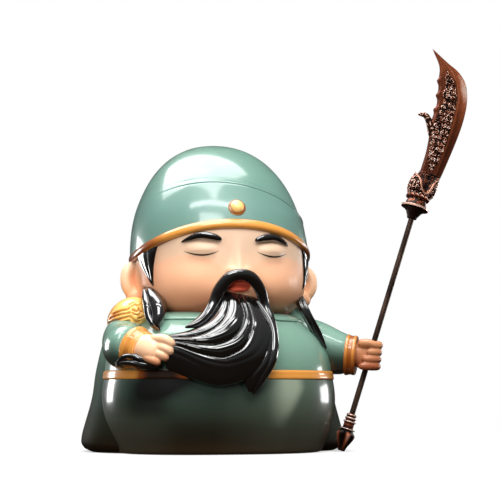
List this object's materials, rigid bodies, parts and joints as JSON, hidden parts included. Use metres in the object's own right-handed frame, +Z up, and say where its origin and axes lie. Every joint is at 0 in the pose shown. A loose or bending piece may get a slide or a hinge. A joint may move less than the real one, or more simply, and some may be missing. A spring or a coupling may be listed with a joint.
{
  "type": "guan yu statue",
  "caption": "Squat glossy resin figure of a bearded robed warrior who strokes the beard and holds a tall glaive upright.",
  "frame": {"origin": "on the ground at the middle of the figure's flat underside", "axes": "+Z up, the face looks along -Y, +X towards the figure's left hand and the glaive"},
  "size_m": [0.2061, 0.1086, 0.2192],
  "materials": {
    "painted_resin": "painted resin under a gloss clear coat",
    "blackened_rod": "blackened, satin",
    "copper_casting": "antiqued copper, darkened in the hollows"
  },
  "bodies": {
    "root": {"figure": "painted_resin", "glaive_shaft": "blackened_rod", "glaive_head": "copper_casting", "glaive_butt": "copper_casting"}
  },
  "joints": []
}
